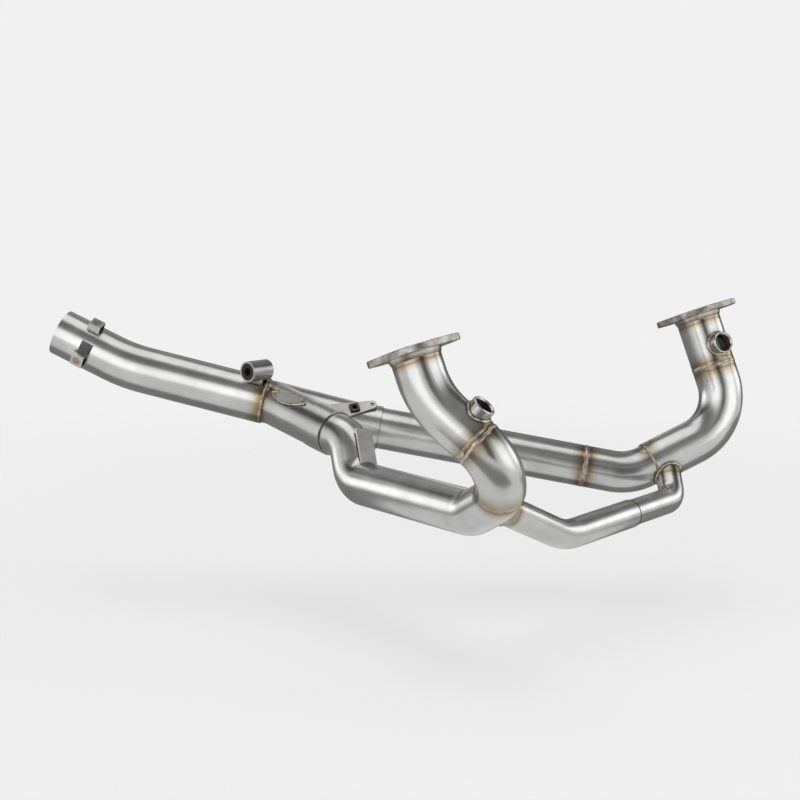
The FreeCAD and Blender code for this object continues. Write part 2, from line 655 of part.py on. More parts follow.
# Hanger: a tube across the motorcycle on a web, with a rubber bush pressed in
HANGER_WAY = Vector(0, -1, 0)
hanger_foot = along(tail_start, tail_kink, size("hanger_back"))
hanger_up = between(main_up, main_out, size("hanger_lean"))
hanger_rise = tail_radius + size("bush_gap") + size("bush_od") / 2
hanger_axis = hanger_foot + hanger_up * hanger_rise
hanger_start = hanger_axis - HANGER_WAY * size("bush_length") / 2
hanger_rod = rod("hanger_rod", hanger_start, HANGER_WAY, BUSH, "sizes.bush_length")
hanger_hole = rod("hanger_hole", hanger_start, HANGER_WAY, BUSH_BORE, "sizes.bush_length")
rubber = rod("rubber_core", hanger_start, HANGER_WAY, BUSH_BORE, "sizes.bush_length")
rubber_hole = rod("rubber_hole", hanger_start, HANGER_WAY, "sizes.bush_bore / 2", "sizes.bush_length")
web = block(
    "web_blank", hanger_foot, MAIN_WAY, hanger_up,
    "sizes.web_length", "sizes.web_thick", f"{TAIL} / 2 + sizes.bush_gap + {BUSH}",
    ("-sizes.web_length / 2", "-sizes.web_thick / 2", f"{TAIL} / 2"))
nodes += [
    cut("hanger_tube", hanger_rod, hanger_hole),
    cut("hanger_rubber_bush", rubber, rubber_hole),
]

# Plates on the collector: stay bracket with its clip nut, crotch plate and riser plate
STAY_FACE = between(main_up, main_out, size("stay_lean"))
stay_rise = STAY_FACE.cross(MAIN_WAY)
STAY_WAY = between(MAIN_WAY, stay_rise, size("stay_turn"))
stay_seat = STAY_FACE * (size("header_od") / 2 - 0.5)
stay_base = along(left_entry, tail_start, size("stay_back")) + stay_seat - stay_rise * size("stay_drop")
stay_plate = tongue("stay_blank", stay_base, STAY_WAY, STAY_FACE)
nut_at = stay_base + STAY_WAY * size("nut_along")
nut_window = block(
    "nut_window", nut_at, STAY_WAY, STAY_FACE, "sizes.nut_side", "sizes.nut_side", "4 * sizes.stay_thick",
    ("-sizes.nut_side / 2", "-sizes.nut_side / 2", "-2 * sizes.stay_thick"))
stay_drill = rod("stay_drill", stay_base + STAY_WAY * size("stay_length") - STAY_FACE * size("stay_thick"),
                 STAY_FACE, "sizes.stay_hole / 2", "4 * sizes.stay_thick")
nut_block = block(
    "nut_block", nut_at, STAY_WAY, STAY_FACE, "sizes.nut_side", "sizes.nut_side", "sizes.nut_height",
    ("-sizes.nut_side / 2", "-sizes.nut_side / 2", "sizes.stay_thick - sizes.nut_height + sizes.nut_proud"))
nut_drill = rod("nut_drill", nut_at - STAY_FACE * size("nut_height"), STAY_FACE,
                "sizes.nut_bore / 2", "3 * sizes.nut_height")

leaf_up = square_to(LEG_WAY, Z_AXIS)
leaf_out = LEG_WAY.cross(leaf_up)
LEAF_FACE = between(leaf_up, leaf_out, size("leaf_lean"))
LEAF_WAY = between(LEG_WAY, LEAF_FACE.cross(LEG_WAY), size("leaf_turn"))
leaf_base = along(merge, right_head, size("leaf_back")) + LEAF_FACE * (size("header_od") / 2 - 0.4)
leaf_ends = []
for way in (1, -1):
    radius = "(sizes.leaf_length ^ 2 / (4 * sizes.leaf_width) + sizes.leaf_width / 4)"
    disc = bind(doc.addObject("Part::Cylinder", f"leaf_arc{len(leaf_ends)}"),
                Radius=radius, Height="sizes.leaf_thick")
    bulge = size("leaf_length") ** 2 / (4 * size("leaf_width")) - size("leaf_width") / 4
    aim(disc, leaf_base + LEAF_FACE.cross(LEAF_WAY) * bulge * way, LEAF_FACE)
    leaf_ends.append(disc)
leaf = common("leaf_blank", *leaf_ends)

RISER_WAY = toward(right_foot, right_head)
gusset_face = square_to(RISER_WAY, Vector(1, -0.11, 0.2))
gusset_seat = size("header_od") / 2 - size("header_wall") - 0.6
gusset_base = right_foot * 0.4 + right_head * 0.6 + gusset_face * gusset_seat
gusset_blank = block(
    "gusset_blank", gusset_base, RISER_WAY, gusset_face,
    "sizes.gusset_length", "sizes.gusset_width", "sizes.gusset_thick",
    ("-sizes.gusset_length / 2", "-sizes.gusset_width / 2", "0"))
nodes += [
    cut("hanger_web", web, tail, left_leg, right_leg, hanger_rod),
    cut("stay_bracket", stay_plate, left_leg, right_leg, right_lower, nut_window, stay_drill),
    cut("stay_clip_nut", nut_block, left_leg, nut_drill),
    cut("crotch_plate", leaf, right_leg, left_leg, tail_bead),
    cut("riser_plate", gusset_blank, right_lower),
]

doc.recompute()

# Checks and export
for item in doc.Objects:
    if "Invalid" in item.State or "Error" in item.State:
        raise RuntimeError(f"{item.Name} did not recompute: {item.State}")
os.makedirs("parts", exist_ok=True)
for node in nodes:
    shape = node.Shape
    if shape.isNull() or not shape.isValid():
        raise RuntimeError(f"{node.Label} has no valid shape")
    print(node.Label, len(shape.Solids), round(shape.Volume, 1))
    shape.exportStep(f"parts/{node.Label}.step")
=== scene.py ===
# %% [markdown]
# # A welded stainless exhaust pipe
# The part is a weldment: thin bent tubes, two flanges, small brackets and the weld beads between them.
# Its solids come packed in one frame, in metres, with X forward and Z up. Nothing here moves or scales them.
# The lesson gives the solids their steel, builds what a welding torch and a thread tap leave behind,
# and lights the result.

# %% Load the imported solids
import json
import math

import bmesh
import bpy
import numpy as np
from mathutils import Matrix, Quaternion, Vector


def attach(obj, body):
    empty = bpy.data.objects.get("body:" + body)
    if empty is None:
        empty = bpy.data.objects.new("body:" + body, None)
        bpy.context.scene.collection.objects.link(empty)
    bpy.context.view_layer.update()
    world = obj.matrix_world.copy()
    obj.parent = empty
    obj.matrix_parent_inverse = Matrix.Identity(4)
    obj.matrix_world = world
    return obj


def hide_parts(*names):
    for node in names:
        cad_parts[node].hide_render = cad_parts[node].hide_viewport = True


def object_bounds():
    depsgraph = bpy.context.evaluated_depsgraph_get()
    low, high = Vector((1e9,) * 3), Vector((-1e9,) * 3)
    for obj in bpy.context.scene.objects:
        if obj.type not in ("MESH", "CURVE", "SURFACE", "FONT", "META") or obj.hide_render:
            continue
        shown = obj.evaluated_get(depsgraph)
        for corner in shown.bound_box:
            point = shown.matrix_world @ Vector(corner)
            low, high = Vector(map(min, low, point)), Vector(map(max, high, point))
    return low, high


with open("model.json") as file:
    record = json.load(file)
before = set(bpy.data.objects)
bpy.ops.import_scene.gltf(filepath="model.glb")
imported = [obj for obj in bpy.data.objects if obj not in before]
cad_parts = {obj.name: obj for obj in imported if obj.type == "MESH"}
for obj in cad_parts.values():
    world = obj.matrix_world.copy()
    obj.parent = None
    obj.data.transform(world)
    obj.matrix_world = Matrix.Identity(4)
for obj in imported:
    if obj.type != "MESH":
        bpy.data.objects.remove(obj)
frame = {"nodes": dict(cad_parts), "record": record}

nodes = frame["nodes"]
mounts = {mount["name"]: mount for mount in frame["record"]["mounts"]}
slots = {part["node"]: part["material_slot"] for part in frame["record"]["subparts"]}
cad_low, cad_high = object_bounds()
MM = 0.001
print("solids:", len(nodes), "box in mm:", [round(side / MM) for side in cad_high - cad_low])

# %% [markdown]
# ## Helpers for finishes
# Colours are given as sRGB hex values, but a shader works in linear light, so one function converts.
# A shader tree is long to type, so one function adds a node, sets it up and links its inputs.
# A link is written as the socket that it comes from, and anything else is a plain value.


# %% Colours, shader nodes and blank materials
def linear(code):
    """A linear RGBA colour from an sRGB hex code such as B8B4AC."""
    values = [int(code[start:start + 2], 16) / 255 for start in (0, 2, 4)]
    return [v / 12.92 if v <= 0.04045 else ((v + 0.055) / 1.055) ** 2.4 for v in values] + [1.0]


def add(tree, kind, inputs=None, stops=None, **settings):
    """Add a node with its settings, its ramp stops and its input values or links."""
    node = tree.nodes.new(kind)
    for name, value in settings.items():
        setattr(node, name, value)
    for number, (place, code) in enumerate(stops or []):
        elements = node.color_ramp.elements
        element = elements[number] if number < 2 else elements.new(place)
        element.position = place
        element.color = linear(code)
    for name, value in (inputs or {}).items():
        if isinstance(value, bpy.types.NodeSocket):
            tree.links.new(value, node.inputs[name])
        else:
            node.inputs[name].default_value = value
    return node


def tinted(tree, colour, tint):
    """A colour multiplied by a tint."""
    mix = add(tree, "ShaderNodeMix", {0: 1.0, 6: colour, 7: tint}, data_type="RGBA", blend_type="MULTIPLY")
    return mix.outputs[2]


def blank(name, metallic):
    """A new material, its tree, its surface shader and the place in metres that its patterns use."""
    material = bpy.data.materials.new(name)
    material.use_nodes = True
    tree = material.node_tree
    surface = tree.nodes["Principled BSDF"]
    surface.inputs["Metallic"].default_value = metallic
    place = add(tree, "ShaderNodeTexCoord").outputs["Object"]
    return material, tree, surface, place


print("sample grey in linear light:", [round(v, 3) for v in linear("B8B4AC")[:3]])

# %% [markdown]
# ## Where the welds are
# Welding heats the steel, and the heat leaves a straw and bronze stain on both sides of each bead.
# The stain and the bead both need the bead's place, and the solids hold it: each weld is a ring of vertices.
# A flat fit through the ring gives its axis, and the mean of each sector gives its centre line.

# %% Read each weld's ring from its solid
SECTORS = 72
FIT_ROUNDS = 3
SMOOTH_ROUNDS = 4


def vertices(node):
    """A solid's vertices as rows of x, y, z."""
    flat = np.zeros(len(nodes[node].data.vertices) * 3)
    nodes[node].data.vertices.foreach_get("co", flat)
    return flat.reshape(-1, 3)


def flat_sectors(offsets):
    """The axis of a flat group of points, and the number of the sector that each point lies in."""
    across, up, axis = np.linalg.svd(offsets, full_matrices=False)[2]
    turn = np.arctan2(offsets @ up, offsets @ across) / (2 * math.pi) + 0.5
    return axis, (turn * SECTORS).astype(int) % SECTORS


def weld_ring(node):
    """The centre, axis, mean radius and centre line of a weld."""
    points = vertices(node)
    centre = points.mean(axis=0)
    for _ in range(FIT_ROUNDS):
        axis, sector = flat_sectors(points - centre)
        filled = [number for number in range(SECTORS) if (sector == number).any()]
        means = np.array([points[sector == number].mean(axis=0) for number in filled])
        centre = means.mean(axis=0)
    all_sectors = np.arange(SECTORS)
    line = np.array([np.interp(all_sectors, filled, column, period=SECTORS) for column in means.T]).T
    for _ in range(SMOOTH_ROUNDS):
        line = (np.roll(line, 1, axis=0) + 2 * line + np.roll(line, -1, axis=0)) / 4
    radius = float(np.linalg.norm(line - centre, axis=1).mean())
    return {"centre": centre, "axis": axis, "radius": radius, "line": line}


rings = {name: weld_ring(name) for name in sorted(nodes) if name.endswith("_weld")}
print("weld radii in mm:", {name: round(ring["radius"] / MM, 1) for name, ring in rings.items()})

# %% [markdown]
# ## Heat tint
# The stain is a thin oxide film that tints the metal's reflection, so it multiplies the steel's colour.
# One node group measures how far a point lies from the nearest weld and turns that into a tint.
# The hanger's web and the outlet's tabs were welded on as well, so each counts as a hot spot.
# A little noise moves the bands about, because no torch keeps the same pace all the way round.

# %% A node group for the heat tint
TINT_REACH = 5 * MM
PORT_REACH = 2.5 * MM
TINT_PATCH = 9 * MM
TINT_SWAY = 0.12
WEB_SPOT = 4 * MM
TAB_SPOT = 3 * MM
SPOTS = {
    "hanger_web": WEB_SPOT,
    "outlet_tab_top": TAB_SPOT,
    "outlet_tab_front": TAB_SPOT,
    "outlet_tab_rear": TAB_SPOT,
}
HEAT_STOPS = [
    (0.0, "CBC0B2"),
    (0.03, "A88A68"),
    (0.09, "C4AE8C"),
    (0.20, "D6CBB6"),
    (0.45, "EEE9DE"),
    (1.0, "FFFFFF"),
]

heat = bpy.data.node_groups.new("weld_heat", "ShaderNodeTree")
heat.interface.new_socket("Place", in_out="INPUT", socket_type="NodeSocketVector")
heat.interface.new_socket("Tint", in_out="OUTPUT", socket_type="NodeSocketColor")
heat_place = add(heat, "NodeGroupInput").outputs["Place"]
sources = [(ring["centre"], ring["radius"], PORT_REACH if "port" in name else TINT_REACH)
           for name, ring in rings.items()]
sources += [(vertices(name).mean(axis=0), radius, TINT_REACH) for name, radius in SPOTS.items()]
nearest = None
for middle, radius, reach in sources:
    away = add(heat, "ShaderNodeVectorMath", {0: heat_place, 1: middle}, operation="DISTANCE")
    span = {"Value": away.outputs["Value"], "From Min": radius, "From Max": radius + reach}
    gap = add(heat, "ShaderNodeMapRange", span, clamp=False).outputs[0]
    if nearest is None:
        nearest = gap
    else:
        nearest = add(heat, "ShaderNodeMath", {0: nearest, 1: gap}, operation="MINIMUM").outputs[0]
patch = add(heat, "ShaderNodeTexNoise", {"Vector": heat_place, "Scale": 1 / TINT_PATCH, "Detail": 2.0})
sway_span = {"Value": patch.outputs["Fac"], "To Min": -TINT_SWAY, "To Max": TINT_SWAY}
sway = add(heat, "ShaderNodeMapRange", sway_span)
moved = add(heat, "ShaderNodeMath", {0: nearest, 1: sway.outputs[0]}, operation="ADD")
tint = add(heat, "ShaderNodeValToRGB", {"Fac": moved.outputs[0]}, stops=HEAT_STOPS)
add(heat, "NodeGroupOutput", {"Tint": tint.outputs["Color"]})
print("heat sources:", len(sources))

# %% [markdown]
# ## The slip joint
# The crossover is two tubes, one pushed into the other. The end of the wider one was cut square, and the
# gap round the joint is painted as a thin shadow line in the steel's colour. The end is the only large flat
# face of that tube.

# %% Find the cut end of the wider crossover tube
CUT_LINE = 1.8 * MM
CUT_EDGE = 0.3 * MM
# Painted shadow: the colour of the thin line where the two tubes meet.
JOINT_SHADOW_STOPS = [(0.0, "6A6762"), (1.0, "FFFFFF")]


def cut_end(node):
    """The centre, the direction and the outer radius of a tube's flat end."""
    groups = {}
    for face in nodes[node].data.polygons:
        groups.setdefault(tuple(round(v, 2) for v in face.normal), []).append(face)
    flat = max(groups.values(), key=len)
    points = vertices(node)[sorted({corner for face in flat for corner in face.vertices})]
    middle = points.mean(axis=0)
    return middle, flat[0].normal.copy(), float(np.linalg.norm(points - middle, axis=1).max())


cut_centre, cut_way, cut_radius = cut_end("crossover_right_pipe")
cut_reach = math.hypot(cut_radius, CUT_LINE)


def joint_shadow_line(tree, place):
    """A painted shadow line on both sides of the cut, no further out than the tube."""
    apart = add(tree, "ShaderNodeVectorMath", {0: place, 1: cut_centre}, operation="SUBTRACT").outputs[0]
    away = add(tree, "ShaderNodeVectorMath", {0: apart}, operation="LENGTH")
    along = add(tree, "ShaderNodeVectorMath", {0: apart, 1: cut_way}, operation="DOT_PRODUCT")
    aside = add(tree, "ShaderNodeMath", {0: along.outputs["Value"]}, operation="ABSOLUTE")
    band_span = {"Value": aside.outputs[0], "From Min": CUT_LINE - CUT_EDGE, "From Max": CUT_LINE}
    band = add(tree, "ShaderNodeMapRange", band_span)
    away_span = {"Value": away.outputs["Value"], "From Min": cut_reach, "From Max": cut_reach + CUT_EDGE}
    outside = add(tree, "ShaderNodeMapRange", away_span)
    unshaded = add(tree, "ShaderNodeMath", {0: band.outputs[0], 1: outside.outputs[0]}, operation="MAXIMUM")
    return add(tree, "ShaderNodeValToRGB", {"Fac": unshaded.outputs[0]}, stops=JOINT_SHADOW_STOPS).outputs["Color"]


print("cut end at mm:", (cut_centre / MM).round(1), "radius:", round(cut_radius / MM, 2))

# %% [markdown]
# ## Stainless steel
# The tubes are 304 stainless steel: drawn, bent, and then polished with a fine abrasive belt.
# That leaves a satin metal which mirrors the studio in long soft streaks, blurred a little by the grain.
# The plates were cut from sheet and only brushed, the bosses were turned, and the flanges were cut by laser.
# The grain is really finer than a tenth of a millimetre, and is drawn coarser here so that it shows.
# Within a few millimetres of a joint or crease, the steel's colour is darkened as painted shade.

# %% Stainless steel in four finishes
BLOTCH = 30 * MM
FLANGE_BLOTCH = 9 * MM
RUB = 12 * MM
CREASE = 3 * MM
CREASE_SAMPLES = 8
# Painted shade: how dark the colour gets in a crease, from how close other surfaces are.
CREASE_SHADE_STOPS = [(0.45, "56534E"), (0.85, "FFFFFF")]


def stainless(name, dark, light, smooth, rough, grain, relief, stained=True, blotch=BLOTCH):
    """A satin stainless steel between two greys and two roughnesses, with a grain width and depth."""
    material, tree, surface, place = blank(name, 1.0)
    cloud = add(tree, "ShaderNodeTexNoise", {"Vector": place, "Scale": 1 / blotch, "Detail": 4.0})
    greys = [(0.3, dark), (0.7, light)]
    colour = add(tree, "ShaderNodeValToRGB", {"Fac": cloud.outputs["Fac"]}, stops=greys).outputs["Color"]
    if stained:
        stain = add(tree, "ShaderNodeGroup", {"Place": place}, node_tree=heat)
        colour = tinted(tree, colour, stain.outputs["Tint"])
    # Painted shadow: the slip joint's line darkens the colour.
    colour = tinted(tree, colour, joint_shadow_line(tree, place))
    # Painted shade: the colour darkens where other surfaces lie within a few millimetres.
    crease = add(tree, "ShaderNodeAmbientOcclusion", {"Distance": CREASE}, samples=CREASE_SAMPLES)
    crease_shade = add(tree, "ShaderNodeValToRGB", {"Fac": crease.outputs["AO"]}, stops=CREASE_SHADE_STOPS)
    colour = tinted(tree, colour, crease_shade.outputs["Color"])
    rub = add(tree, "ShaderNodeTexNoise", {"Vector": place, "Scale": 1 / RUB, "Detail": 5.0})
    gloss_span = {"Value": rub.outputs["Fac"], "To Min": smooth, "To Max": rough}
    gloss = add(tree, "ShaderNodeMapRange", gloss_span)
    belt = add(tree, "ShaderNodeTexNoise", {"Vector": place, "Scale": 1 / grain, "Detail": 1.0})
    bump = add(tree, "ShaderNodeBump", {"Height": belt.outputs["Fac"], "Strength": 1.0, "Distance": relief})
    tree.links.new(colour, surface.inputs["Base Color"])
    tree.links.new(gloss.outputs[0], surface.inputs["Roughness"])
    tree.links.new(bump.outputs["Normal"], surface.inputs["Normal"])
    return material


tube_steel = stainless("belt_polished_stainless_tube", "BBBBB9", "D0D0CE", 0.18, 0.30, 1.2 * MM, 0.004 * MM)
plate_steel = stainless("brushed_stainless_plate", "9E9D9A", "BCBBB8", 0.22, 0.38, 3.0 * MM, 0.05 * MM)
boss_steel = stainless("turned_stainless_boss", "ADABA7", "C6C4C0", 0.16, 0.28, 0.6 * MM, 0.006 * MM,
                       stained=False)
flange_steel = stainless("laser_cut_stainless_flange", "6E6760", "BEBAB2", 0.22, 0.42, 5.0 * MM, 0.12 * MM,
                         blotch=FLANGE_BLOTCH)
print("steel finishes:", [m.name for m in (tube_steel, plate_steel, boss_steel, flange_steel)])

# %% [markdown]
# ## Weld metal, rubber and plated nut
# A bead of weld metal cools under its own oxide, so it is a little browner than the tube, and patchy.
# The hanger's bush is black natural rubber: no metal, a matt skin, and a trace of dust in the colour.
# The clip nut is spring steel with dark plating, which dulls the metal but keeps its shine.
# The thread inside each sensor boss is painted dark, as the shade inside its bore.

# %% The other finishes
WELD_PATCH = 5 * MM
FINE_PATCH = 2 * MM
PITS_PER_PATCH = 4
BEAD_STOPS = [(0.30, "7C746A"), (0.44, "A59A86"), (0.56, "BFB9AD"), (0.70, "D0CCC4")]
RUBBER_STOPS = [(0.3, "151515"), (0.7, "232322")]
PLATING_STOPS = [(0.3, "3A3A3B"), (0.7, "55544F")]
# Painted shade: the dark colours of the thread inside the bore.
BORE_SHADE_STOPS = [(0.3, "242220"), (0.7, "4C4843")]


def patchy(name, stops, metallic, smooth, rough, patch, relief):
    """A finish whose colour wanders between the stops from patch to patch."""
    material, tree, surface, place = blank(name, metallic)
    cloud = add(tree, "ShaderNodeTexNoise", {"Vector": place, "Scale": 1 / patch, "Detail": 3.0})
    colour = add(tree, "ShaderNodeValToRGB", {"Fac": cloud.outputs["Fac"]}, stops=stops)
    gloss_span = {"Value": cloud.outputs["Fac"], "To Min": smooth, "To Max": rough}
    gloss = add(tree, "ShaderNodeMapRange", gloss_span)
    pits = add(tree, "ShaderNodeTexNoise", {"Vector": place, "Scale": PITS_PER_PATCH / patch, "Detail": 3.0})
    bump = add(tree, "ShaderNodeBump", {"Height": pits.outputs["Fac"], "Strength": 1.0, "Distance": relief})
    tree.links.new(colour.outputs["Color"], surface.inputs["Base Color"])
    tree.links.new(gloss.outputs[0], surface.inputs["Roughness"])
    tree.links.new(bump.outputs["Normal"], surface.inputs["Normal"])
    return material


weld_metal = patchy("tig_weld_metal", BEAD_STOPS, 1.0, 0.22, 0.40, WELD_PATCH, 0.03 * MM)
rubber = patchy("black_natural_rubber", RUBBER_STOPS, 0.0, 0.55, 0.75, FINE_PATCH, 0.02 * MM)
plating = patchy("dark_plated_spring_steel", PLATING_STOPS, 1.0, 0.30, 0.45, FINE_PATCH, 0.01 * MM)
# Painted shade inside the bore, on the thread.
bore_shade = patchy("bore_shaded_thread_steel", BORE_SHADE_STOPS, 1.0, 0.35, 0.55, FINE_PATCH, 0.01 * MM)
print("other finishes:", [m.name for m in (weld_metal, rubber, plating, bore_shade)])

# %% [markdown]
# ## Dress the solids
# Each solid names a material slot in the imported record, so a table from slot to finish dresses all of them.
# A few solids have their own finish: the flanges were cut by laser, which leaves them streaky and brown,
# and the welds under them and the outlet's tabs were polished together with the tubes.
# The tubes are fine facets, and smooth shading blends the facets but keeps every true edge sharp.

# %% Give each solid its finish
EDGE_ANGLE = math.radians(32)
OWN_FINISHES = {
    "right_port_flange": flange_steel,
    "left_port_flange": flange_steel,
    "right_port_weld": tube_steel,
    "left_port_weld": tube_steel,
    "outlet_tab_top": tube_steel,
    "outlet_tab_front": tube_steel,
    "outlet_tab_rear": tube_steel,
}
FINISHES = {
    "stainless_pipe": tube_steel,
    "stainless_plate": plate_steel,
    "stainless_boss": boss_steel,
    "weld_bead": weld_metal,
    "rubber": rubber,
    "zinc_nut": plating,
}
for name, solid in nodes.items():
    solid.data.materials.clear()
    solid.data.materials.append(OWN_FINISHES.get(name, FINISHES[slots[name]]))
    solid.data.shade_smooth()
    solid.data.set_sharp_from_angle(angle=EDGE_ANGLE)
print("dressed:", len(nodes), "solids")

# %% [markdown]
# ## A mesh from rows of points
# The beads and the threaded bosses are both closed skins stretched over rows of points.
# Each row is a closed loop, and the last row joins the first, so the skin is shaped like a tyre.
# One function makes such a skin, turns its faces outward and hides the solid that it stands for.


# %% Stretch a skin over rows of points
def skin(name, rows, finish, stands_for):
    """A closed mesh over rows of points, in place of a solid or, with None, in addition to the solids."""
    count, around_row, _ = rows.shape
    faces = []
    for row in range(count):
        following = (row + 1) % count
        for step in range(around_row):
            beside = (step + 1) % around_row
            faces.append((row * around_row + step, row * around_row + beside,
                          following * around_row + beside, following * around_row + step))
    mesh = bpy.data.meshes.new(name)
    mesh.from_pydata(rows.reshape(-1, 3).tolist(), [], faces)
    shell = bmesh.new()
    shell.from_mesh(mesh)
    bmesh.ops.recalc_face_normals(shell, faces=shell.faces)
    shell.to_mesh(mesh)
    shell.free()
    mesh.materials.append(finish)
    mesh.shade_smooth()
    piece = bpy.data.objects.new(name, mesh)
    bpy.context.scene.collection.objects.link(piece)
    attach(piece, "root")
    if stands_for:
        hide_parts(stands_for)
    return piece


print("skins can be made of:", weld_metal.name, "and", boss_steel.name)

# %% [markdown]
# ## The shape of a weld bead
# A welder adds filler drop by drop, and each drop freezes as a small crescent, like a row of fallen coins.
# A plain ring with a bump texture would look smooth at its edge, so the ripples are real: the bead's section
# swells and shrinks along its path, and lags at the edges, which bends each ripple into a crescent.
# The bead also sways a little from side to side, in slow and quick waves, as a hand does.

# %% Ripples along a path
RIPPLE = 2.3 * MM
RIPPLE_STEPS = 6
RIPPLE_SWELL = 0.24
RIPPLE_LAG = 0.35
SECTION_STEPS = 16
BEAD_SWAY = 0.10
SLOW_WAVES = 5
QUICK_WAVES = 13


def rippled_path(line):
    """A closed line cut into whole ripples of equal parts."""
    length = np.linalg.norm(line - np.roll(line, 1, axis=0), axis=1).sum()
    count = round(length / RIPPLE) * RIPPLE_STEPS
    places = np.arange(count) / count * len(line)
    numbers = np.arange(len(line))
    return np.array([np.interp(places, numbers, column, period=len(line)) for column in line.T]).T


def bead_rows(path, outward, axis, half_width, half_height, valley=0.0, toe=0):
    """Rows of points round a bead's section, which swells and shrinks along its path.

    A valley parts a wide bead into two ridges, and a toe of 1 makes its edges run out flat.
    """
    turn = np.arange(len(path)) / len(path)
    ripples = len(path) // RIPPLE_STEPS
    waves = np.sin(2 * math.pi * SLOW_WAVES * turn + 1) + np.sin(2 * math.pi * QUICK_WAVES * turn)
    rows = []
    for step in range(SECTION_STEPS):
        angle = 2 * math.pi * step / SECTION_STEPS
        phase = (turn * ripples + RIPPLE_LAG * math.cos(angle) ** 2) % 1
        swell = 1 - RIPPLE_SWELL + RIPPLE_SWELL * np.sqrt(1 - (2 * phase - 1) ** 2)
        side = half_width * (math.cos(angle) * swell + BEAD_SWAY * waves)
        arch = math.sin(angle) * abs(math.sin(angle)) ** toe
        rise = arch * half_height * swell * (1 - valley * math.sin(angle) ** 4)
        rows.append(path + np.outer(side, axis) + outward * rise[:, None])
    return np.array(rows)


print("ripple length in mm:", round(RIPPLE / MM, 1), "points round a bead:", SECTION_STEPS)

# %% [markdown]
# ## Beads round the pipes
# A bead between two pipes is low and runs out flat at its edges, because the torch melts it into both walls.
# The knee was welded in two passes, so its bead has two ridges with a valley between them.
# Where a branch or a boss stands on a pipe, the bead is round and fills the corner.

# %% Build the beads round the pipes
RING_BEAD = {"half_width": 2.3 * MM, "half_height": 0.75 * MM, "toe": 1, "sink": 0.5 * MM}
KNEE_BEAD = {"half_width": 4.2 * MM, "half_height": 1.7 * MM, "valley": 0.9, "sink": 0.4 * MM}
SADDLE_BEAD = {"half_width": 1.6 * MM, "half_height": 1.6 * MM}
BEADS = {
    "right_knee_weld": KNEE_BEAD,
    "right_loop_weld": RING_BEAD,
    "left_seam_weld": RING_BEAD,
    "left_bend_weld": RING_BEAD,
    "left_run_weld": RING_BEAD,
    "tail_weld": RING_BEAD,
    "right_boss_weld": SADDLE_BEAD,
    "left_boss_weld": SADDLE_BEAD,
    "crossover_right_weld": SADDLE_BEAD,
    "crossover_left_weld": SADDLE_BEAD,
}


def ring_bead(name, sink=0.0, **section):
    """A bead along a weld's centre line, sunk towards the pipe."""
    ring = rings[name]
    path = rippled_path(ring["line"])
    outward = path - ring["centre"]
    outward -= np.outer(outward @ ring["axis"], ring["axis"])
    outward /= np.linalg.norm(outward, axis=1)[:, None]
    rows = bead_rows(path - sink * outward, outward, ring["axis"], **section)
    return skin(f"{name}_bead", rows, weld_metal, name)


beads = [ring_bead(name, **section) for name, section in BEADS.items()]
print("beads:", len(beads), "with", sum(len(bead.data.polygons) for bead in beads), "faces")

# %% [markdown]
# ## A bead round the crotch plate
# The small leaf-shaped plate on the collector's right leg is welded on along its whole outline.
# The outline is the farthest vertex in each sector, and it is divided evenly so that all ripples are alike.

# %% Build the bead round the plate
PLATE_BEAD = {"half_width": 1.5 * MM, "half_height": 1.6 * MM}
PLATE_LIFT = 0.6 * MM


def edge_bead(node, lift, **section):
    """A bead round the outline of a thin plate, lifted from the plate's middle towards its upper face."""
    points = vertices(node)
    centre = points.mean(axis=0)
    offsets = points - centre
    axis, sector = flat_sectors(offsets)
    axis = axis * np.sign(axis[2])
    reach = np.linalg.norm(offsets - np.outer(offsets @ axis, axis), axis=1)
    farthest = [np.flatnonzero(sector == number)[reach[sector == number].argmax()]
                for number in range(SECTORS) if (sector == number).any()]
    corners = points[farthest] - np.outer(offsets[farthest] @ axis - lift, axis)
    steps = np.linalg.norm(np.roll(corners, -1, axis=0) - corners, axis=1)
    along = np.concatenate(([0.0], np.cumsum(steps)))
    evenly = np.arange(SECTORS) / SECTORS * along[-1]
    line = np.array([np.interp(evenly, along, np.append(column, column[0])) for column in corners.T]).T
    path = rippled_path(line)
    forward = np.roll(path, -2, axis=0) - np.roll(path, 2, axis=0)
    outward = np.cross(forward, axis)
    outward /= np.linalg.norm(outward, axis=1)[:, None]
    outward *= np.sign(((path - centre) * outward).sum())
    rows = bead_rows(path, outward, axis, **section)
    return skin(f"{node}_bead", rows, weld_metal, None)


plate_bead = edge_bead("crotch_plate", PLATE_LIFT, **PLATE_BEAD)
print("plate bead:", plate_bead.name, "with", len(plate_bead.data.polygons), "faces")

# %% [markdown]
# ## Threaded sensor bosses
# Each boss takes an oxygen sensor, so it has an M18 fine thread with a pitch of 1.5 mm.
# The solid has a plain bore at the thread's inner radius, so the piece is lathed again here with the thread.
# On a lathe a thread is a groove that sinks by one pitch per turn: its depth depends on height and angle.

# %% Lathe the bosses with their thread
THREAD_PITCH = 1.5 * MM
THREAD_DEPTH = 0.8 * MM
THREAD_STEPS = 8
LATHE_STEPS = 72
BOSS_EDGE = 0.7 * MM


